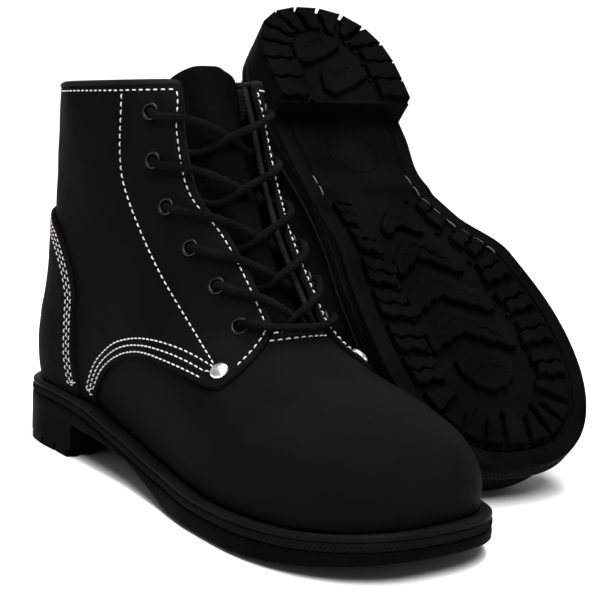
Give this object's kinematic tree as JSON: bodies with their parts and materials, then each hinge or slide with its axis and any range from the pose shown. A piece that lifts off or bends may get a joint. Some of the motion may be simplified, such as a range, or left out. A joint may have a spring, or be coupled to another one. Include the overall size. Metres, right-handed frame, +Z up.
{
  "type": "fire boots",
  "caption": "Pair of black leather lace-up safety boots with a lugged rubber sole and block heel; one stands, the other lies on its toe and collar showing its sole.",
  "frame": {"origin": "on the floor, under the middle of the standing right boot's heel", "axes": "+X from the right boot's heel to its toe, +Y to the wearer's left, +Z up"},
  "size_m": [0.3879, 0.2277, 0.2288],
  "materials": {
    "leather": "satin, smooth fine grain",
    "binding": "matt folded edge",
    "tongue_leather": "matt soft leather",
    "rubber": "matt moulded",
    "welt_rubber": "matt, slanted ribs",
    "lining": "knitted mesh",
    "textile": "felt-topped foam",
    "steel": "satin",
    "board": "pressed fibre board",
    "cork": "granular cork",
    "black_metal": "blackened, satin",
    "bright_metal": "polished nickel",
    "lace_cord": "round braid",
    "lace_tip": "smooth sleeve"
  },
  "bodies": {
    "right_boot": {"right_outsole": "rubber", "right_welt": "welt_rubber", "right_cork_filler": "cork", "right_shank": "steel", "right_puncture_plate": "steel", "right_insole_board": "board", "right_footbed": "textile", "right_toe_cap": "steel", "right_vamp": "leather", "right_vamp_lining": "lining", "right_outer_quarter": "leather", "right_inner_quarter": "leather", "right_quarter_lining": "lining", "right_heel_stiffener": "board", "right_heel_pocket": "leather", "right_collar_binding": "binding", "right_outer_eyelet_row": "black_metal", "right_inner_eyelet_row": "black_metal", "right_outer_rivet": "bright_metal", "right_inner_rivet": "bright_metal", "right_lace": "lace_cord", "right_outer_lace_tip": "lace_tip", "right_inner_lace_tip": "lace_tip"},
    "right_tongue": {"right_tongue": "tongue_leather"},
    "left_boot": {"left_outsole": "rubber", "left_welt": "welt_rubber", "left_cork_filler": "cork", "left_shank": "steel", "left_puncture_plate": "steel", "left_insole_board": "board", "left_footbed": "textile", "left_toe_cap": "steel", "left_vamp": "leather", "left_vamp_lining": "lining", "left_outer_quarter": "leather", "left_inner_quarter": "leather", "left_quarter_lining": "lining", "left_heel_stiffener": "board", "left_heel_pocket": "leather", "left_collar_binding": "binding", "left_outer_eyelet_row": "black_metal", "left_inner_eyelet_row": "black_metal", "left_outer_rivet": "bright_metal", "left_inner_rivet": "bright_metal", "left_lace": "lace_cord", "left_outer_lace_tip": "lace_tip", "left_inner_lace_tip": "lace_tip"},
    "left_tongue": {"left_tongue": "tongue_leather"}
  },
  "joints": [
    {"name": "right_tongue_fold", "type": "hinge", "parent": "right_boot", "child": "right_tongue", "pos_m": [0.185, 0, 0.066], "axis": [0, 1, 0], "range_deg": [-8, 0]},
    {"name": "left_boot_lift", "type": "slide", "parent": "right_boot", "child": "left_boot", "axis": [0, 0, 1], "range_m": [0, 0.25]},
    {"name": "left_tongue_fold", "type": "hinge", "parent": "left_boot", "child": "left_tongue", "pos_m": [0.11156, 0.11176, 0.03263], "axis": [-0.1132, -0.9936, 0], "range_deg": [-8, 0]}
  ]
}
